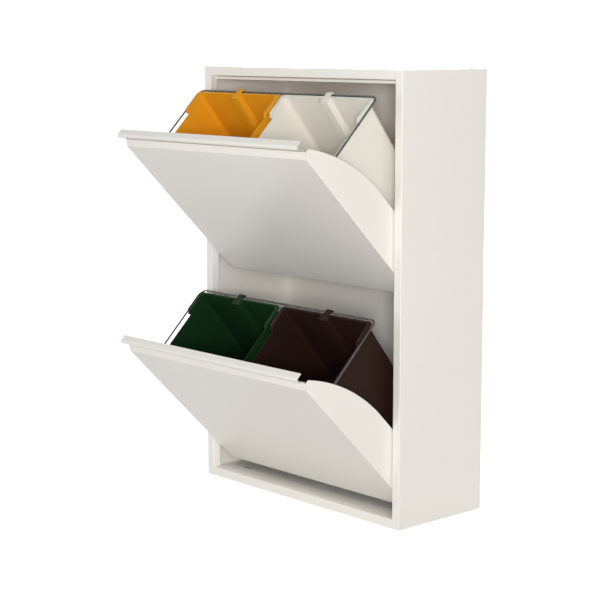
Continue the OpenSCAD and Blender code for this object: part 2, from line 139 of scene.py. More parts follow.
class CaseSizes(bpy.types.PropertyGroup):
    """Sizes of the folded steel case."""

    half_width: length("Half width", "Half the width of the case", SIDE_HIGH.x / MM)
    front: length("Front", "Distance of the front face from the middle", -SIDE_LOW.y / MM)
    back: length("Back", "Distance of the back's outside from the middle", BACK_HIGH.y / MM)
    height: length("Height", "Height of the case", SIDE_HIGH.z / MM)
    sheet: length("Sheet", "Thickness of the steel sheet", 1.0, 0.5, 2.0)
    face: length("Face", "Width of the stiles and rails", (SIDE_HIGH.x - SIDE_LOW.x) / MM)
    returned: length("Return", "Depth folded back from the stiles and rails", 20.0)
    lip: length("Lip", "Height of the lip hanging from the top rail's return", 8.0)
    # Reach of the painted shade along the top rail's inner fold
    dust: length("Dust", "Reach of the dust along the lip's fold", 2.5)
    floor: length("Floor", "Height of the floor plate's underside", 15.0)
    flange: length("Rear flange", "Width of the flanges behind the back panel", 15.0)
    fold: length("Fold", "Radius of the folds at the middle of the sheet", 1.1, 0.5, 3.0)
    floor_fold: length("Floor fold", "Radius of the floor plate's folds", 0.7, 0.5, 3.0)
    slot_pitch: length("Slot pitch", "Distance between the floor slots", 484.0)
    slot_length: length("Slot length", "Length of a floor slot", 32.0)
    slot_width: length("Slot width", "Width of a floor slot", 12.0)
    slot_place: length("Slot place", "Distance of the floor slots from the front", 66.0)
    wall_hole: length("Wall hole", "Diameter of a wall fixing hole", 8.0)
    wall_pitch: length("Wall hole pitch", "Distance between the wall fixing holes", 460.0)
    wall_height: length("Wall hole height", "Height of the wall fixing holes", 860.0)


class FlapSizes(bpy.types.PropertyGroup):
    """Sizes of one tilting flap, upright as when it is shut."""

    tilt: angle("Open angle", "Tilt of a flap on its stops", 45.0)
    pivot_depth: length("Pivot depth", "Depth of the pivot behind the front face", 13.0)
    pivot_height: length("Pivot height", "Height of the pivot above the bottom edge", 70.0)
    half_width: length("Half width", "Half the width of a flap", 287.0)
    height: length("Height", "Height of a flap", 445.5)
    groove_height: length("Groove height", "Height at which the finger groove starts", 409.0)
    groove_depth: length("Groove depth", "Depth of the finger groove", 10.0)
    groove_rise: length("Groove rise", "Height over which the groove leans back", 15.0)
    lip_out: length("Lip", "How far the lip stands in front of the face", 1.5)
    lip_nose: length("Lip nose", "Height of the lip's front", 8.5)
    lip_depth: length("Lip depth", "Depth of the lip's top flange", 16.0)
    nose: length("Nose radius", "Radius of the two folds of the lip's nose", 4.6, 1.0, 5.5)
    bottom_flange: length("Bottom flange", "Depth of the flange along the bottom", 18.0)
    fold: length("Fold", "Radius of the folds at the middle of the sheet", 1.5, 0.5, 4.0)
    # Reach of the painted shade along the groove's deepest line
    dust: length("Dust", "Reach of the dust along the groove's deepest line", 2.1)
    cheek_depth: length("Cheek depth", "Depth of the cheeks", 88.5)
    cheek_curve: length("Cheek curve", "Height at which the cheek starts to curve", 205.0)
    cheek_top: length("Cheek top", "Height of the top of the cheek", 421.0)
    cheek_top_depth: length("Cheek top depth", "Depth of the cheek at its top", 18.0)
    cheek_flange: length("Cheek flange", "Width of the cheek's welded flange", 13.0)
    wire: length("Wire", "Diameter of the hoop's wire", 4.0, 2.0, 8.0)
    wire_height: length("Wire height", "Height of the hoop", 350.0)
    wire_out: length("Wire reach", "Distance of the hoop's arms from the middle", 278.0)
    wire_depth: length("Wire depth", "Depth of the hoop's rear bar", 222.0)
    wire_start: length("Wire start", "Depth at which the hoop's arms start", 21.0)
    wire_bend: length("Wire bend", "Radius of the hoop's corners", 14.0)


class BinSizes(bpy.types.PropertyGroup):
    """Sizes of one waste bin, upright as when its flap is shut."""

    middle: length("Middle", "Distance of a bin's middle from the cabinet's", 140.0)
    half_width: length("Half width", "Half the width over the side walls", 128.0)
    front: length("Front", "Depth of the front wall at its top", 20.0)
    back: length("Back", "Depth of the rear wall's outside at its top", 212.0)
    side_taper: length("Side taper", "Width lost on each side towards the base", 7.0)
    front_taper: length("Front taper", "Depth gained by the front wall", 2.0)
    back_taper: length("Back taper", "Depth lost by the rear wall", 40.0)
    base: length("Base", "Height of the base above the flap's bottom edge", 9.0)
    edge: length("Edge", "Height of the mouth's low front edge", 345.5)
    rise: length("Rise", "Depth at which the edge starts to rise", 156.0)
    rise_run: length("Rise run", "Depth over which the edge rises", 7.0)
    rim: length("Rim", "Height of the rear rim's underside", 352.3)
    rim_half: length("Rim half width", "Half the width of the rear rim", 137.0)
    rim_back: length("Rim back", "Depth of the rear rim's rear edge", 214.5)
    rim_thickness: length("Rim thickness", "Thickness of the rim and hook", 2.2)
    rim_corner: length("Rim corner", "Radius of the rear rim's outer corners", 9.0)
    web_half: length("Web", "Half the width over the webs under the rim's front ends", 134.0)
    wall: length("Wall", "Wall thickness", 2.0, 1.0, 4.0)
    corner: length("Corner", "Radius of the upright corners", 12.0)
    channel: length("Channel", "Half width of the channel down the rear wall", 12.0)
    channel_depth: length("Channel depth", "Depth of that channel", 12.0)
    channel_corner: length("Channel corner", "Radius of the channel's corners", 4.0)
    base_round: length("Base edge", "Radius of the edge round the base", 5.0)
    base_ring: length("Base ring", "Width of the ring that the base stands on", 12.0)
    base_step: length("Base step", "Width of the slope inside that ring", 2.0)
    base_lift: length("Base lift", "Height of the base's middle above the ring", 1.2)
    hook_fold: length("Hook fold", "Radius of the hook's fold", 1.2)
    hook_half: length("Hook", "Half the width of the rear hook", 8.0)
    hook_low: length("Hook low", "Height of the bottom of the hook", 344.5)
    hook_back: length("Hook back", "Depth of the hook's rear face", 227.0)


class Finishes(bpy.types.PropertyGroup):
    """Colours of the paint, plastics, wire and rubber."""

    enamel: colour("Enamel", "White enamel on the steel", 0.93, 0.91, 0.87)
    # Painted shade: a brown darkening laid along the sheets' inner folds, where they fall into shadow
    dust: colour("Dust", "Dust in the folds of the sheet", 0.36, 0.27, 0.20)
    zinc: colour("Zinc", "Zinc plate on pins, clips and rivets", 0.62, 0.62, 0.60)
    # Painted shade: the wire's zinc plate made dark, standing in for the dark surroundings that it reflects
    wire: colour("Wire", "Darkened plate on the hoops' wire", 0.14, 0.135, 0.125)
    nylon: colour("Nylon", "Bushes", 0.78, 0.78, 0.72)
    rubber: colour("Rubber", "Buffers and sleeves", 0.018, 0.018, 0.019)
    yellow: colour("Yellow", "Yellow bin", 0.86, 0.385, 0.014)
    cream: colour("White", "White bin", 0.88, 0.855, 0.79)
    green: colour("Green", "Green bin", 0.005, 0.030, 0.008)
    brown: colour("Brown", "Brown bin", 0.022, 0.008, 0.005)


class StageSettings(bpy.types.PropertyGroup):
    """Floor, light and camera."""

    floor: colour("Floor", "Colour of the floor", 0.79, 0.78, 0.77)
    floor_glow: number(
        "Floor paleness", "Paleness added to the near floor in the picture", 0.66, 0.0, 1.0)
    floor_mirrored: number(
        "Mirrored paleness", "Share of that paleness in reflections", 0.35, 0.0, 1.0)
    floor_near: number(
        "Near floor", "Distance in metres at which the floor starts to fade", 1.0, 0.0, 20.0)
    floor_far: number("Far floor", "Distance in metres at which it is white", 4.0, 0.0, 20.0)
    world: number("Surrounding light", "Strength of the even light all round", 0.31, 0.0, 3.0)
    key: power("Key", "Power of the small lamp at the right", 35.0)
    soft: power("Soft", "Power of the wide lamp behind the camera", 46.0)
    front: power("Front", "Power of the lamp beside the camera", 88.0)
    top: power("Top", "Power of the lamp above and behind", 24.0)
    left: power("Left", "Power of the lamp in front at the left", 26.0)
    rear: power("Rear", "Power of the lamp behind at the left", 120.0)
    camera: FloatVectorProperty(
        name="Camera", description="Where the camera stands",
        default=(2.6035, -2.4816, 0.9987), subtype="TRANSLATION", unit="LENGTH",
    )
    camera_down: angle("Camera down", "How far the camera looks down", 8.344)
    camera_turn: angle("Camera turn", "How far the camera is turned to the left", 47.757)
    lens: number("Lens", "Focal length of the camera in millimetres", 99.04, 20.0, 200.0)
    shift: number("Shift", "Vertical shift of the camera's picture", -0.03, -0.5, 0.5)
    sides: IntProperty(
        name="Wire sides", description="Number of sides of a wire's section", default=24,
        min=8, max=64,
    )


# Making and shaping


def work(mode):
    """Goes to object mode or to edit mode."""
    bpy.ops.object.mode_set(mode=mode)


def nothing_selected():
    """Leaves edit mode and deselects every object."""
    if bpy.context.mode != "OBJECT":
        work("OBJECT")
    bpy.ops.object.select_all(action="DESELECT")


def activate(piece):
    """Makes a piece the only selected object and the active one."""
    nothing_selected()
    piece.select_set(True)
    bpy.context.view_layer.objects.active = piece


def new_primitive(add, name, scale=(1, 1, 1), **settings):
    """Adds a primitive alone in the selection, names it and puts its place in its mesh."""
    nothing_selected()
    add(**settings)
    piece = bpy.context.object
    piece.name = piece.data.name = name
    piece.scale = scale
    keep_place()
    return piece


def keep_place():
    """Moves the active object's place, turn and size into its mesh."""
    bpy.ops.object.transform_apply(location=True, rotation=True, scale=True)


def select_everything():
    """Selects the whole mesh that is being edited."""
    bpy.ops.mesh.select_all(action="SELECT")


def pick(kind, test):
    """Selects the vertices, edges or faces whose corners all pass the test."""
    bpy.ops.mesh.select_mode(type=kind)
    bpy.ops.mesh.select_all(action="DESELECT")
    mesh = bmesh.from_edit_mesh(bpy.context.edit_object.data)
    items = {"VERT": mesh.verts, "EDGE": mesh.edges, "FACE": mesh.faces}[kind]
    chosen = [i for i in items if all(test(v.co) for v in ([i] if kind == "VERT" else i.verts))]
    if not chosen:
        raise RuntimeError(f"nothing to pick on {bpy.context.edit_object.name}")
    for item in chosen:
        item.select_set(True)
    mesh.select_flush_mode()
    bmesh.update_edit_mesh(bpy.context.edit_object.data)


def extrude(x, y, z):
    """Extrudes the selection and moves it."""
    bpy.ops.mesh.extrude_region_move(TRANSFORM_OT_translate={"value": (x, y, z)})


def move(x, y, z):
    """Moves the selection."""
    bpy.ops.transform.translate(value=(x, y, z))


def cut(point, normal, drop=None):
    """Bisects the whole mesh; drop names the side that goes: ahead or behind the normal."""
    select_everything()
    bpy.ops.mesh.bisect(
        plane_co=point, plane_no=normal, clear_outer=drop == "ahead",
        clear_inner=drop == "behind", use_fill=False,
    )


def bevel(offset, segments, affect="EDGES"):
    """Rounds the selected edges or corners."""
    bpy.ops.mesh.bevel(offset=offset, offset_type="OFFSET", segments=segments, profile=0.5,
                       affect=affect, clamp_overlap=False)


def flatten(height):
    """Brings what is selected to one height."""
    bpy.ops.transform.resize(value=(1, 1, 0), center_override=(0, 0, height))


def round_corners(radius, test):
    """Rounds the corners of a flat mesh that pass the test."""
    pick("VERT", test)
    bevel(radius, FOLD_STEPS, "VERTICES")


def one_face():
    """Makes a flat cut-up mesh one face without points along its straight edges."""
    select_everything()
    bpy.ops.mesh.dissolve_limited(angle_limit=math.radians(5))
    bpy.ops.mesh.select_mode(type="VERT")
    bpy.ops.mesh.select_all(action="DESELECT")
    mesh = bmesh.from_edit_mesh(bpy.context.edit_object.data)
    for vertex in mesh.verts:
        there, back = (e.other_vert(vertex).co - vertex.co for e in vertex.link_edges)
        vertex.select_set(there.angle(back) > math.radians(175))
    bmesh.update_edit_mesh(bpy.context.edit_object.data)
    bpy.ops.mesh.dissolve_verts()


def applied(piece, kind, **settings):
    """Puts a modifier on a piece and applies it."""
    activate(piece)
    modifier = piece.modifiers.new(kind.title(), kind)
    for key, value in settings.items():
        setattr(modifier, key, value)
    bpy.ops.object.modifier_apply(modifier=modifier.name)


def thicken(piece, thickness, side=0.0):
    """Gives a sheet its thickness, at its middle or to one side."""
    applied(piece, "SOLIDIFY", thickness=thickness, offset=side, use_even_offset=True)


def soften(piece, width, segments=2):
    """Breaks the sharp edges of a piece and shades it."""
    applied(
        piece, "BEVEL", width=width, segments=segments, limit_method="ANGLE",
        angle_limit=SHARP, use_clamp_overlap=True,
    )
    bpy.ops.object.shade_smooth_by_angle(angle=SMOOTH)
    applied(piece, "WEIGHTED_NORMAL", keep_sharp=True, weight=60)


def drill(piece, cutter):
    """Cuts the shape of another object out of a piece."""
    applied(piece, "BOOLEAN", operation="DIFFERENCE", solver="EXACT", object=cutter)
    bpy.data.objects.remove(cutter)


def unite(piece, other):
    """Makes two closed shapes one."""
    applied(piece, "BOOLEAN", operation="UNION", solver="EXACT", object=other)
    bpy.data.objects.remove(other)


def folded_sheet(name, path, span, radius, own=()):
    """A sheet without thickness, folded along the corners of a path and as wide as the span.

    The folds have one radius, apart from the corners whose numbers have their own.
    """
    path, span = [Vector(p) for p in path], Vector(span)
    own = dict(own)
    first = path[1] - path[0]
    sheet = new_primitive(bpy.ops.mesh.primitive_plane_add, name, size=1)
    axes = Matrix((first, span, first.cross(span).normalized())).transposed().to_4x4()
    sheet.matrix_world = Matrix.Translation(path[0] + (first + span) / 2) @ axes
    keep_place()
    work("EDIT")

    def at(corner):
        return lambda p: (p - corner).cross(span).length < 1e-5 * span.length

    pick("EDGE", at(path[1]))
    for here, there in zip(path[1:], path[2:]):
        extrude(*(there - here))
    for number, corner in enumerate(path[1:-1], 1):
        turn = (corner - path[number - 1]).angle(path[number + 1] - corner)
        if turn < math.radians(1):
            continue
        pick("EDGE", at(corner))
        bevel(own.get(number, radius) * math.tan(turn / 2), FOLD_STEPS)
    return sheet


def mark_painted_shade(piece, reach, *corners):
    """Marks the points near the given corners of a sheet's path, where shade is painted along the fold."""
    work("OBJECT")
    mark = piece.data.attributes.new("dust", "FLOAT", "POINT")
    for vertex, value in zip(piece.data.vertices, mark.data):
        gaps = [(Vector(c).yz - vertex.co.yz).length for c in corners]
        value.value = 1.0 if min(gaps) < reach else 0.0


def lay_open(piece, level):
    """Tilts a piece from the shut flap's upright frame on to the open flap."""
    flap = bpy.context.scene.cabinet_flap
    pivot = Vector((0, flap.pivot_depth, flap.pivot_height))
    activate(piece)
    piece.matrix_world = (
        Matrix.Translation(HINGES[level + "_flap"])
        @ Matrix.Rotation(flap.tilt, 4, "X")
        @ Matrix.Translation(-pivot)
    )
    keep_place()


def hand_over(piece, body, slot, *nodes, finish=""):
    """Gives a finished piece its finish and body, in the place of its CAD nodes."""
    piece.data.materials.clear()
    piece.data.materials.append(bpy.data.materials[(finish or slot) + "_finish"])
    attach(piece, body)
    if nodes:
        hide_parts(*nodes)


# Surfaces


def feed(tree, socket, source):
    """Gives a socket a plain value, or links another socket to it."""
    if isinstance(source, bpy.types.NodeSocket):
        tree.links.new(source, socket)
    else:
        socket.default_value = source


def add_node(tree, kind, sources=(), **options):
    """Adds a node, sets its options and feeds its inputs."""
    node = tree.nodes.new(kind)
    for key, value in options.items():
        setattr(node, key, value)
    for target, source in dict(sources).items():
        feed(tree, node.inputs[target], source)
    return node


def group_tree(name, inputs, outputs=("Colour", "Roughness", "Height")):
    """A shader node group with named sockets: its tree, what it is given, and its place."""
    tree = bpy.data.node_groups.new(name, "ShaderNodeTree")
    kinds = {True: "NodeSocketColor", False: "NodeSocketFloat"}
    for label, default in inputs.items():
        tree.interface.new_socket(
            label, in_out="INPUT", socket_type=kinds[isinstance(default, tuple)],
        ).default_value = default
    for label in outputs:
        tree.interface.new_socket(
            label, in_out="OUTPUT", socket_type=kinds[label == "Colour"])
    given = tree.nodes.new("NodeGroupInput").outputs
    return tree, given, tree.nodes.new("ShaderNodeTexCoord").outputs["Object"]


def put_out(tree, **values):
    """Ends a group with the values that it puts out."""
    add_node(tree, "NodeGroupOutput", values)


def noise(tree, place, scale, detail=3.0, rough=0.5):
    """A noise pattern on object coordinates."""
    return add_node(tree, "ShaderNodeTexNoise", {
        "Vector": place, "Scale": scale, "Detail": detail, "Roughness": rough,
    }).outputs["Fac"]


def stretch(tree, value, low, high, to_low=0.0, to_high=1.0):
    """Maps part of a value's range to another range."""
    return add_node(tree, "ShaderNodeMapRange", {
        "Value": value, "From Min": low, "From Max": high, "To Min": to_low, "To Max": to_high,
    }).outputs["Result"]


def mix(tree, amount, low, high):
    """Mixes two colours."""
    node = add_node(tree, "ShaderNodeMix", data_type="RGBA")
    feed(tree, node.inputs["Factor"], amount)
    for key, source in (("A", low), ("B", high)):
        feed(tree, next(s for s in node.inputs if s.name == key and s.type == "RGBA"), source)
    return next(s for s in node.outputs if s.type == "RGBA")


def maths(tree, operation, first, *others):
    """Arithmetic on numbers and sockets, from left to right."""
    for other in others:
        first = add_node(
            tree, "ShaderNodeMath", {0: first, 1: other}, operation=operation).outputs[0]
    return first


def wear_group():
    """Mask of the rubbed edges, from how the surface turns nearby, broken up by noise."""
    tree, given, place = group_tree("EdgeWear", {"Strength": 0.5}, ["Mask"])
    flat = tree.nodes.new("ShaderNodeNewGeometry").outputs["Normal"]
    rounded = add_node(tree, "ShaderNodeBevel", {"Radius": 1.2 * MM}, samples=4)
    turn = add_node(tree, "ShaderNodeVectorMath", {0: rounded.outputs["Normal"], 1: flat},
                    operation="DOT_PRODUCT").outputs["Value"]
    edge = stretch(tree, turn, 0.75, 0.98, 1.0, 0.0)
    spots = stretch(tree, noise(tree, place, 90.0, 4.0, 0.6), 0.42, 0.62, 0.25, 1.0)
    put_out(tree, Mask=maths(tree, "MULTIPLY", edge, spots, given["Strength"]))


def paint_group():
    """Stoved enamel: a fine orange peel, slow waves in the sheet, faint handling marks and painted shade along the
    marked folds.
    """
    tree, given, place = group_tree("StovedEnamel", {
        "Colour": (0.8, 0.8, 0.8, 1), "Shade": (0.7, 0.7, 0.7, 1), "Dust": (0.3, 0.25, 0.2, 1),
        "Gloss Low": 0.28, "Gloss High": 0.36})
    clouds = noise(tree, place, 3.0, 4.0, 0.6)
    marks = noise(tree, place, 240.0, 3.0, 0.6)
    tint = maths(tree, "ADD", stretch(tree, clouds, 0.3, 0.7, 0.0, 0.3),
                 stretch(tree, marks, 0.35, 0.8, 0.0, 0.12))
    paint = mix(tree, tint, given["Colour"], given["Shade"])
    # Painted shade: the marked folds are darkened towards the shade colour
    dust = add_node(tree, "ShaderNodeAttribute", attribute_name="dust").outputs["Fac"]
    peel = maths(tree, "MULTIPLY", noise(tree, place, 620.0, 2.0, 0.4), 0.03 * MM)
    waves = maths(tree, "MULTIPLY", noise(tree, place, 5.0, 1.0, 0.3), 0.8 * MM)
    put_out(tree, Colour=mix(tree, dust, paint, given["Dust"]),
            Roughness=stretch(tree, marks, 0.3, 0.75, given["Gloss Low"], given["Gloss High"]),
            Height=maths(tree, "ADD", peel, waves))


def grain_group():
    """Injection moulded plastic: spark-eroded grain, flow marks and light scuffs."""
    tree, given, place = group_tree("MouldedGrain", {
        "Colour": (0.5, 0.5, 0.5, 1), "Scuff": (0.6, 0.6, 0.6, 1), "Scuffing": 0.3})
    drawn = add_node(tree, "ShaderNodeMapping", {"Vector": place, "Scale": (60.0, 9.0, 9.0)})
    scratches = noise(tree, drawn.outputs["Vector"], 4.0, 7.0, 0.7)
    clouds = noise(tree, place, 8.0, 3.0, 0.5)
    scuffs = maths(tree, "MULTIPLY", stretch(tree, scratches, 0.55, 0.75), given["Scuffing"])
    pale = maths(tree, "ADD", scuffs, stretch(tree, clouds, 0.4, 0.7, 0.0, 0.12))
    fine = maths(tree, "MULTIPLY", noise(tree, place, 1500.0, 2.0, 0.5), 0.05 * MM)
    flow = maths(tree, "MULTIPLY", clouds, 0.3 * MM)
    put_out(tree, Colour=mix(tree, pale, given["Colour"], given["Scuff"]),
            Roughness=stretch(tree, scratches, 0.3, 0.7, 0.56, 0.72),
            Height=maths(tree, "ADD", fine, flow))


def plate_group():
    """Zinc plate: crystal mottle and dull patches."""
    tree, given, place = group_tree("ZincPlate", {
        "Colour": (0.5, 0.5, 0.5, 1), "Dull": (0.3, 0.3, 0.3, 1)})
    crystals = add_node(tree, "ShaderNodeTexVoronoi", {"Vector": place, "Scale": 320.0})
    patches = noise(tree, place, 70.0, 5.0, 0.6)
    dull = stretch(tree, patches, 0.35, 0.75)
    put_out(tree, Colour=mix(tree, dull, given["Colour"], given["Dull"]),
            Roughness=stretch(tree, patches, 0.3, 0.8, 0.22, 0.42),
            Height=maths(tree, "MULTIPLY", crystals.outputs["Distance"], 0.04 * MM))


def finish(name, effect, values, worn, strength, **constants):
    """A material from one of the groups, with its edges rubbed towards the worn colour."""
    material = bpy.data.materials.new(name + "_finish")
    material.use_nodes = True
    tree = material.node_tree
    groups = bpy.data.node_groups
    surface = add_node(tree, "ShaderNodeGroup", node_tree=groups[effect])
    edges = add_node(tree, "ShaderNodeGroup", node_tree=groups["EdgeWear"])
    for key, value in values.items():
        surface.inputs[key].default_value = value
    edges.inputs["Strength"].default_value = strength
    relief = add_node(
        tree, "ShaderNodeBump", {"Distance": 1.0, "Height": surface.outputs["Height"]})
    shader = tree.nodes["Principled BSDF"].inputs
    feed(tree, shader["Base Color"],
         mix(tree, edges.outputs["Mask"], surface.outputs["Colour"], worn))
    feed(tree, shader["Roughness"], surface.outputs["Roughness"])
    feed(tree, shader["Normal"], relief.outputs["Normal"])
    for key, value in constants.items():
        shader[key.replace("_", " ")].default_value = value


def toned(tint, factor, haze=0.0):
    """A colour made darker or lighter, and greyer by the haze."""
    return tuple(min(1.0, c * factor + haze) for c in tint[:3]) + (1.0,)


class CABINET_OT_finishes(bpy.types.Operator):
    """Makes the enamel, zinc, nylon, rubber, bin plastics and the wire's zinc darkened as painted shade"""

    bl_idname = "cabinet.finishes"
    bl_label = "Finishes"

    def execute(self, context):
        tints = context.scene.cabinet_finishes
        for build in (wear_group, paint_group, grain_group, plate_group):
            build()
        # The enamel carries the painted shade colour for its marked folds
        finish("enamel", "StovedEnamel",
               {"Colour": tints.enamel, "Shade": toned(tints.enamel, 0.95), "Dust": tints.dust},
               toned(tints.enamel, 0.72), 0.5, Coat_Weight=0.12, Coat_Roughness=0.2)
        # The wire's finish is a darker copy of the zinc plate, painted shade for what it reflects
        for name, tint in (("zinc", tints.zinc), ("wire", tints.wire)):
            finish(name, "ZincPlate", {"Colour": tint, "Dull": toned(tint, 0.6)},
                   toned(tint, 1.4), 0.6, Metallic=1.0)
        for name, tint, scuffing in (
            ("nylon", tints.nylon, 0.1), ("rubber", tints.rubber, 0.2),
            ("yellow_plastic", tints.yellow, 0.2), ("white_plastic", tints.cream, 0.2),
            ("green_plastic", tints.green, 0.3), ("brown_plastic", tints.brown, 0.3),
        ):
            scuff = toned(tint, 0.95, 0.002)
            finish(name, "MouldedGrain", {"Colour": tint, "Scuff": scuff, "Scuffing": scuffing},
                   toned(tint, 0.9, 0.015), 0.5, Specular_IOR_Level=0.16)
        return {"FINISHED"}


class CABINET_OT_side_panels(bpy.types.Operator):
    """Folds the two side panels with their stiles and rear flanges"""

    bl_idname = "cabinet.side_panels"
    bl_label = "Side panels"

    def execute(self, context):
        case = context.scene.cabinet_case
        c = case.sheet / 2
        stile = case.half_width - case.face
        rear = case.back - case.sheet - c
        for name, side in SIDES.items():
            path = [(stile + c, case.returned - case.front), (stile + c, c - case.front),
                    (case.half_width - c, c - case.front), (case.half_width - c, rear),
                    (case.half_width - case.flange, rear)]
            piece = folded_sheet(name + "_side", [(side * x, y, 0) for x, y in path],
                                 (0, 0, case.height), case.fold)
            thicken(piece, case.sheet)
            work("EDIT")
            # The top plate lies on the ends of the return and of the rear flange
            pick("VERT", lambda p: p.z > case.height - MM * 0.1
                 and abs(p.x) < case.half_width - case.sheet - c
                 and p.y > case.sheet * 2 - case.front)
            move(0, 0, -case.sheet)
            soften(piece, TOUCHED_EDGE)
            hand_over(piece, "case", "enamel", name + "_side_panel")
        return {"FINISHED"}


class CABINET_OT_top_panel(bpy.types.Operator):
    """Folds the top plate down into the top rail and its hanging lip"""

    bl_idname = "cabinet.top_panel"
    bl_label = "Top panel"

    def execute(self, context):
        case = context.scene.cabinet_case
        c = case.sheet / 2
        stile = case.half_width - case.face
        opening = case.height - case.face
        rail = case.returned - case.front - c
        rear = case.back - case.sheet - c
        inner = (rail, opening + c)
        # The extra corners beside the fold keep the line of painted shade narrow
        path = [(rail, opening - case.lip), (rail, opening - 2.6 * MM),
                (rail, opening - 1.8 * MM), inner, (rail - 3 * MM, opening + c),
                (c - case.front, opening + c), (c - case.front, case.height - c),
                (rear, case.height - c), (rear, case.height - case.flange)]
        piece = folded_sheet("top_panel_skin", [(-stile, y, z) for y, z in path],
                             (2 * stile, 0, 0), case.fold)
        for side in SIDES.values():
            pick("EDGE", lambda p: abs(p.x - side * stile) < EPS
                 and abs(p.z - case.height + c) < EPS)
            extrude(side * (case.face - case.sheet - c), 0, 0)
            extrude(0, 0, c - case.flange)
            pick("EDGE", lambda p: side * p.x > stile - EPS
                 and abs(p.z - case.height + c) < EPS
                 and abs(p.y + case.front - c - case.fold) < EPS)
            extrude(0, c - case.fold, 0)
        thicken(piece, case.sheet)
        # Shade is painted along the inner fold under the top rail
        mark_painted_shade(piece, case.dust, (0, *inner))
        work("EDIT")
        pick("VERT", lambda p: p.z > case.height - EPS)
        flatten(case.height)
        soften(piece, CASE_EDGE)
        # The bevel lifts some of the plate's points a hair, so they go back down
        work("EDIT")
        pick("VERT", lambda p: p.z > case.height - EPS)
        flatten(case.height)
        work("OBJECT")
        hand_over(piece, "case", "enamel", "top_panel")
        return {"FINISHED"}


class CABINET_OT_floor_panel(bpy.types.Operator):
    """Folds the floor plate up over the bottom rail and cuts its slots"""

    bl_idname = "cabinet.floor_panel"
    bl_label = "Floor panel"

    def execute(self, context):
        case = context.scene.cabinet_case
        c = case.sheet / 2
        stile = case.half_width - case.face
        rail = case.returned - case.front + c
        rear = case.back - case.sheet - c
        path = [(c - case.front, 0), (c - case.front, case.face - c), (rail, case.face - c),
                (rail, case.floor + c), (rear, case.floor + c), (rear, 0)]
        piece = folded_sheet("floor_panel_skin", [(-stile, y, z) for y, z in path],
                             (2 * stile, 0, 0), case.floor_fold)
        for side in SIDES.values():
            pick("EDGE", lambda p: abs(p.x - side * stile) < EPS
                 and abs(p.z - case.floor - c) < EPS)
            extrude(side * (case.face - case.sheet), 0, 0)
        thicken(piece, case.sheet)
        for side in SIDES.values():
            slot = new_primitive(
                bpy.ops.mesh.primitive_cube_add, "slot_cutter", size=1,
                location=(side * case.slot_pitch / 2, case.slot_place - case.front, case.floor),
                scale=(case.slot_length, case.slot_width, CUTTER))
            drill(piece, slot)
        soften(piece, CASE_EDGE)
        hand_over(piece, "case", "enamel", "floor_panel")
        return {"FINISHED"}


class CABINET_OT_back_panel(bpy.types.Operator):
    """Cuts the back panel with its fixing holes"""

    bl_idname = "cabinet.back_panel"
    bl_label = "Back panel"

    def execute(self, context):
        case = context.scene.cabinet_case
        piece = new_primitive(
            bpy.ops.mesh.primitive_plane_add, "back_panel_skin", size=1,
            location=(0, case.back - case.sheet / 2, case.height / 2),
            rotation=(math.radians(90), 0, 0), scale=(2 * case.half_width, case.height, 1))
        thicken(piece, case.sheet)
        for side in SIDES.values():
            hole = new_primitive(
                bpy.ops.mesh.primitive_cylinder_add, "hole_cutter", vertices=48,
                radius=case.wall_hole / 2, depth=CUTTER,
                location=(side * case.wall_pitch / 2, case.back, case.wall_height),
                rotation=(math.radians(90), 0, 0))
            drill(piece, hole)
        soften(piece, CASE_EDGE)
        hand_over(piece, "case", "enamel", "back_panel")
        return {"FINISHED"}


class CABINET_OT_flap_fronts(bpy.types.Operator):
    """Folds the flaps' front sheets with finger groove and lip"""

    bl_idname = "cabinet.flap_fronts"
    bl_label = "Flap fronts"

    def execute(self, context):
        flap, sheet = context.scene.cabinet_flap, context.scene.cabinet_case.sheet
        c = sheet / 2
        groove = Vector((flap.groove_depth + c, flap.groove_height + flap.groove_rise))
        slope = Vector((c, flap.groove_height))
        nose = Vector((c - flap.lip_out, flap.height - flap.lip_nose))
        # The extra corners beside the groove keep the line of painted shade narrow
        path = [(flap.bottom_flange, c), (c, c), slope, groove.lerp(slope, 0.16),
                groove.lerp(slope, 0.10), groove, groove.lerp(nose, 0.30), nose,
                (c - flap.lip_out, flap.height - c), (flap.lip_depth, flap.height - c)]
        noses = {number: flap.nose for number in (7, 8)}
        for level in LEVELS:
            piece = folded_sheet(
                level + "_front_sheet", [(-flap.half_width, *p) for p in path],
                (2 * flap.half_width, 0, 0), flap.fold, noses)
            thicken(piece, sheet)
            # Shade is painted along the groove's deepest line, under the lip
            mark_painted_shade(piece, flap.dust, (0, *groove))
            soften(piece, TOUCHED_EDGE)
            lay_open(piece, level)
            hand_over(piece, level + "_flap", "enamel", level + "_front")
        return {"FINISHED"}


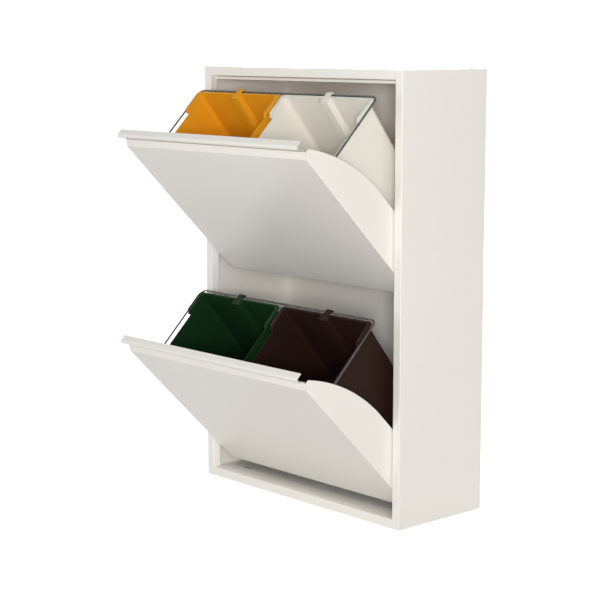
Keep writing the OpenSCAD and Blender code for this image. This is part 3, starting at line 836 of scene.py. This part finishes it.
class CABINET_OT_cheeks(bpy.types.Operator):
    """Cuts the flaps' cheeks with their curved rear edges"""

    bl_idname = "cabinet.cheeks"
    bl_label = "Flap cheeks"

    def execute(self, context):
        flap, sheet = context.scene.cabinet_flap, context.scene.cabinet_case.sheet
        rise = flap.cheek_top - flap.cheek_curve
        run = flap.cheek_depth - flap.cheek_top_depth
        radius = (rise * rise + run * run) / (2 * run)
        bottom = flap.fold + sheet / 2
        for level in LEVELS:
            for name, side in SIDES.items():
                place = side * (flap.half_width - sheet / 2)
                piece = new_primitive(
                    bpy.ops.mesh.primitive_circle_add, f"{level}_{name}_cheek_sheet",
                    vertices=720, radius=radius, fill_type="NGON",
                    location=(place, flap.cheek_depth - radius, flap.cheek_curve),
                    rotation=(0, math.radians(90), 0))
                work("EDIT")
                cut((0, 0, flap.cheek_top), (0, 0, 1), "ahead")
                cut((0, 0, flap.cheek_curve), (0, 0, 1), "behind")
                cut((0, 1.5 * sheet, 0), (0, 1, 0), "behind")
                lean = Vector((0, flap.groove_rise, -flap.groove_depth))
                cut((0, 1.2 * sheet, flap.groove_height - sheet), lean, "behind")
                pick("EDGE", lambda p: p.z < flap.cheek_curve + EPS)
                extrude(0, 0, bottom - flap.cheek_curve)
                pick("EDGE", lambda p: p.y < 1.5 * sheet + EPS)
                extrude(side * (sheet / 2 - flap.cheek_flange), 0, 0)
                pick("EDGE", lambda p: p.y < 1.5 * sheet + EPS and abs(p.x - place) < EPS)
                bevel(sheet, 6)
                work("OBJECT")
                thicken(piece, sheet)
                soften(piece, TOUCHED_EDGE)
                lay_open(piece, level)
                hand_over(piece, level + "_flap", "enamel", f"{level}_{name}_cheek")
        return {"FINISHED"}


class CABINET_OT_hoops(bpy.types.Operator):
    """Bends the wire hoops that the bins hang in"""

    bl_idname = "cabinet.hoops"
    bl_label = "Wire hoops"

    def execute(self, context):
        flap = context.scene.cabinet_flap
        bend, out, high = flap.wire_bend, flap.wire_out, flap.wire_height
        for level in LEVELS:
            piece = new_primitive(
                bpy.ops.mesh.primitive_circle_add, level + "_wire",
                vertices=context.scene.cabinet_stage.sides, radius=flap.wire / 2,
                fill_type="NGON", location=(out, flap.wire_start, high),
                rotation=(math.radians(90), 0, 0))
            work("EDIT")
            select_everything()
            run = flap.wire_depth - bend
            extrude(0, run - flap.wire_start, 0)
            for turn, onward in (
                (out - bend, (2 * (bend - out), 0, 0)), (bend - out, (0, flap.wire_start - run, 0))
            ):
                bpy.ops.mesh.spin(
                    steps=14, angle=math.radians(-90), center=(turn, run, high), axis=(0, 0, 1))
                extrude(*onward)
            select_everything()
            bpy.ops.mesh.remove_doubles(threshold=0.01 * MM)
            bpy.ops.mesh.normals_make_consistent(inside=False)
            soften(piece, SOFT_EDGE)
            lay_open(piece, level)
            # The hoop gets the darkened zinc copy, painted shade for the dark surroundings it reflects
            hand_over(piece, level + "_flap", "zinc", level + "_hoop", finish="wire")
        return {"FINISHED"}


def bin_outline(size):
    """The bin's outline with its channel as one face, upright on the cabinet's middle."""
    floor = size.back - size.channel_depth
    piece = new_primitive(
        bpy.ops.mesh.primitive_plane_add, "bin", size=1,
        location=(0, (size.front + size.back) / 2, size.rim),
        scale=(2 * size.half_width, size.back - size.front, 1))
    work("EDIT")
    for x in (-size.channel, size.channel):
        cut((x, 0, 0), (1, 0, 0))
    cut((0, floor, 0), (0, 1, 0))
    pick("FACE", lambda p: abs(p.x) < size.channel + EPS and p.y > floor - EPS)
    bpy.ops.mesh.delete(type="FACE")
    one_face()
    for radius, test in (
        (size.corner, lambda p: abs(p.x) > size.half_width - EPS),
        (size.channel_corner, lambda p: abs(abs(p.x) - size.channel) < EPS
         and p.y > floor - EPS),
    ):
        round_corners(radius, test)
    return piece


def bin_shell(size):
    """The bin's walls and base, its mouth low at the front and raised at the rear."""
    piece = bin_outline(size)
    low, top = size.base + size.base_round, size.rim + size.rim_thickness / 2
    part = (size.rim - low) / (size.rim - size.base)
    bpy.ops.mesh.select_mode(type="FACE")
    select_everything()
    move(0, 0, top - size.rim)
    extrude(0, 0, low - top)
    bpy.ops.transform.resize(value=(1 - size.side_taper / size.half_width * part, 1, 1),
                             center_override=(0, 0, 0))
    middle = (size.front + size.back) / 2
    for test, shift in (
        (lambda p: p.y < middle, size.front_taper),
        (lambda p: p.y > middle, -size.back_taper),
    ):
        pick("VERT", lambda p: p.z < low + EPS and test(p))
        move(0, shift * part, 0)
    select_everything()
    bpy.ops.mesh.normals_make_consistent(inside=False)
    middle = Vector((0, (size.front + size.back - size.back_taper) / 2, 0))
    reach = Vector((size.half_width - size.side_taper, middle.y - size.front, 1))

    def ring(inward, down):
        """Extrudes the base's face and draws it in towards its middle."""
        extrude(0, 0, -down)
        factor = [1 - inward / r for r in reach]
        bpy.ops.transform.resize(value=(factor[0], factor[1], 1), center_override=middle)

    pick("FACE", lambda p: p.z < low + EPS)
    turns = [math.radians(a) for a in (0, 30, 60, 90)]
    for a, b in zip(turns, turns[1:]):
        ring(size.base_round * (math.cos(a) - math.cos(b)),
             size.base_round * (math.sin(b) - math.sin(a)))
    ring(size.base_ring, 0)
    ring(size.base_step, -size.base_lift)
    pick("FACE", lambda p: p.z > top - EPS)
    bpy.ops.mesh.delete(type="ONLY_FACE")
    cut((0, 0, size.edge), (0, 0, 1))
    lean = Vector((0, top - size.edge, -size.rise_run))
    foot = Vector((0, size.rise, size.edge))
    pick("FACE", lambda p: p.z > size.edge - EPS)
    bpy.ops.mesh.bisect(plane_co=foot, plane_no=lean)
    pick("FACE", lambda p: p.z > size.edge - EPS and (p - foot).dot(lean) < EPS * MM)
    bpy.ops.mesh.delete(type="FACE")
    work("OBJECT")
    thicken(piece, size.wall, side=-1.0)
    work("EDIT")
    pick("VERT", lambda p: p.z < size.base + EPS)
    flatten(size.base)
    work("OBJECT")
    return piece


def bin_rim(size):
    """The flat rim round the rear part, with a slanting web under each front end."""
    inner = size.half_width - size.wall
    channel = size.channel + size.wall
    front = size.rise + size.rise_run
    back, floor = size.back - size.wall, size.back - size.channel_depth - size.wall
    piece = new_primitive(
        bpy.ops.mesh.primitive_plane_add, "bin_rim", size=1,
        location=(0, (front + size.rim_back) / 2, size.rim),
        scale=(2 * size.rim_half, size.rim_back - front, 1))
    work("EDIT")
    for x in (-inner, -channel, channel, inner):
        cut((x, 0, 0), (1, 0, 0))
    for y in (floor, back):
        cut((0, y, 0), (0, 1, 0))
    pick("FACE", lambda p: abs(p.x) < inner + EPS and p.y < floor + EPS)
    bpy.ops.mesh.delete(type="FACE")
    for side in SIDES.values():
        pick("FACE", lambda p: channel - EPS < side * p.x < inner + EPS and p.y < back + EPS)
        bpy.ops.mesh.delete(type="FACE")
    one_face()
    for radius, test in (
        (size.rim_corner, lambda p: abs(p.x) > size.rim_half - EPS
         and p.y > size.rim_back - EPS),
        (size.corner - size.wall, lambda p: p.y > back - EPS and abs(abs(p.x) - inner) < EPS),
    ):
        round_corners(radius, test)
    for side in SIDES.values():
        cut((side * size.web_half, 0, 0), (1, 0, 0))
        pick("EDGE", lambda p: p.y < front + EPS and inner - EPS < side * p.x
             and side * p.x < size.web_half + EPS)
        extrude(0, -size.rise_run, size.edge - size.rim)
    work("OBJECT")
    thicken(piece, size.rim_thickness, side=1.0)
    return piece


def bin_hook(size):
    """The hook that reaches over the hoop's rear bar."""
    c = size.rim_thickness / 2
    piece = folded_sheet(
        "bin_hook", [(-size.hook_half, y, z) for y, z in (
            (size.back - 2 * c, size.rim + c), (size.hook_back - c, size.rim + c),
            (size.hook_back - c, size.hook_low))],
        (2 * size.hook_half, 0, 0), size.hook_fold)
    thicken(piece, size.rim_thickness)
    return piece


class CABINET_OT_bins(bpy.types.Operator):
    """Moulds one bin and hangs its four copies in the hoops"""

    bl_idname = "cabinet.bins"
    bl_label = "Bins"

    def execute(self, context):
        size = context.scene.cabinet_bin
        moulding = bin_shell(size)
        for other in (bin_rim(size), bin_hook(size)):
            unite(moulding, other)
        soften(moulding, SOFT_EDGE)
        for name, (level, side) in BINS.items():
            piece = moulding.copy()
            piece.data = moulding.data.copy()
            piece.name = piece.data.name = name + "_moulding"
            context.scene.collection.objects.link(piece)
            activate(piece)
            piece.location.x = side * size.middle
            keep_place()
            lay_open(piece, level)
            hand_over(piece, name, name.replace("_bin", "_plastic"), name)
        bpy.data.objects.remove(moulding)
        return {"FINISHED"}


class CABINET_OT_fittings(bpy.types.Operator):
    """Gives the CAD nodes that stay their own finishes"""

    bl_idname = "cabinet.fittings"
    bl_label = "Fittings"

    def execute(self, context):
        slots = {p["node"]: p["material_slot"] for p in frame["record"]["subparts"]}
        for name, node in frame["nodes"].items():
            if node.hide_render:
                continue
            node.data.materials.clear()
            node.data.materials.append(bpy.data.materials[slots[name] + "_finish"])
        return {"FINISHED"}


class CABINET_OT_stage(bpy.types.Operator):
    """Lays the floor and sets the lamps, the surrounding light and the camera"""

    bl_idname = "cabinet.stage"
    bl_label = "Stage"

    def execute(self, context):
        scene, settings = context.scene, context.scene.cabinet_stage
        floor = new_primitive(bpy.ops.mesh.primitive_plane_add, "floor", size=40)
        floor.data.materials.append(self.floor_material(settings))
        self.surroundings(scene, settings)
        for name, (place, size, tint) in LAMPS.items():
            data = bpy.data.lights.new(name, "AREA")
            data.energy, data.size, data.color = getattr(settings, name), size, tint
            lamp = bpy.data.objects.new(name, data)
            lamp.location = place
            aim = LAMPS_AIM - lamp.location
            lamp.rotation_euler = aim.to_track_quat("-Z", "Y").to_euler()
            scene.collection.objects.link(lamp)

        data = bpy.data.cameras.new("camera")
        data.lens, data.sensor_width, data.shift_y = settings.lens, 36.0, settings.shift
        data.clip_start, data.clip_end = 0.1, 50.0
        camera = bpy.data.objects.new("camera", data)
        camera.location = settings.camera
        camera.rotation_euler = (
            math.radians(90) - settings.camera_down, 0, settings.camera_turn)
        scene.collection.objects.link(camera)
        scene.camera = camera
        scene.view_settings.view_transform = "Standard"
        return {"FINISHED"}

    def floor_material(self, settings):
        """Looks paler to the camera and in reflections, fading to white far out.

        The paleness lights nothing, and under the cabinet the floor stays dark.
        """
        material = bpy.data.materials.new("floor")
        material.use_nodes = True
        tree = material.node_tree
        shader = tree.nodes["Principled BSDF"].inputs
        for key, value in (("Base Color", settings.floor), ("Roughness", 0.8),
                           ("Specular IOR Level", 0.1), ("Emission Color", (1, 1, 1, 1))):
            shader[key].default_value = value
        ray = tree.nodes.new("ShaderNodeLightPath").outputs
        mirrored = maths(tree, "MULTIPLY", ray["Is Glossy Ray"], settings.floor_mirrored)
        seen = maths(tree, "MAXIMUM", ray["Is Camera Ray"], mirrored)
        place = tree.nodes.new("ShaderNodeTexCoord").outputs["Object"]
        spot = add_node(tree, "ShaderNodeSeparateXYZ", {"Vector": place}).outputs
        beside = [
            maths(tree, "GREATER_THAN", maths(tree, "ABSOLUTE", spot[axis], 0.0), reach - 5 * MM)
            for axis, reach in (("X", CAD_HIGH.x), ("Y", CAD_HIGH.y))]
        reach = add_node(tree, "ShaderNodeVectorMath", {0: place}, operation="LENGTH")
        fade = stretch(tree, reach.outputs["Value"], settings.floor_near, settings.floor_far,
                       settings.floor_glow, 1.0)
        glow = maths(tree, "MULTIPLY", seen, fade, maths(tree, "MAXIMUM", *beside))
        feed(tree, shader["Emission Strength"], glow)
        return material

    def surroundings(self, scene, settings):
        """Even light all round, which shows white to the camera and in reflections."""
        scene.world = scene.world or bpy.data.worlds.new("World")
        scene.world.use_nodes = True
        tree = scene.world.node_tree
        sky = tree.nodes["Background"].inputs
        sky["Color"].default_value = (1, 1, 1, 1)
        ray = tree.nodes.new("ShaderNodeLightPath").outputs
        seen = maths(tree, "MAXIMUM", ray["Is Camera Ray"], ray["Is Glossy Ray"])
        feed(tree, sky["Strength"], stretch(tree, seen, 0.0, 1.0, settings.world, 1.0))


STEPS = (
    CABINET_OT_finishes,
    CABINET_OT_side_panels,
    CABINET_OT_top_panel,
    CABINET_OT_floor_panel,
    CABINET_OT_back_panel,
    CABINET_OT_flap_fronts,
    CABINET_OT_cheeks,
    CABINET_OT_hoops,
    CABINET_OT_bins,
    CABINET_OT_fittings,
    CABINET_OT_stage,
)
SETTINGS = {
    "cabinet_case": CaseSizes,
    "cabinet_flap": FlapSizes,
    "cabinet_bin": BinSizes,
    "cabinet_finishes": Finishes,
    "cabinet_stage": StageSettings,
}


class CABINET_PT_panel(bpy.types.Panel):
    """Lists the steps and settings of the cabinet in the sidebar"""

    bl_idname = "CABINET_PT_panel"
    bl_label = "Recycling cabinet"
    bl_space_type = "VIEW_3D"
    bl_region_type = "UI"
    bl_category = "Cabinet"

    def draw(self, context):
        for step in STEPS:
            self.layout.operator(step.bl_idname)
        for name in SETTINGS:
            box = self.layout.box()
            group = getattr(context.scene, name)
            for key in group.__annotations__:
                box.prop(group, key)


def register():
    """Registers the settings, the operators and the panel."""
    for settings in SETTINGS.values():
        bpy.utils.register_class(settings)
    for name, settings in SETTINGS.items():
        setattr(bpy.types.Scene, name, PointerProperty(type=settings))
    for item in (*STEPS, CABINET_PT_panel):
        bpy.utils.register_class(item)


def unregister():
    """Takes everything back out."""
    for item in (CABINET_PT_panel, *reversed(STEPS)):
        bpy.utils.unregister_class(item)
    for name, settings in reversed(SETTINGS.items()):
        delattr(bpy.types.Scene, name)
        bpy.utils.unregister_class(settings)


def main():
    """Builds the whole cabinet in order."""
    register()
    for step in STEPS:
        family, name = step.bl_idname.split(".")
        getattr(getattr(bpy.ops, family), name)()


if __name__ == "__main__":
    main()
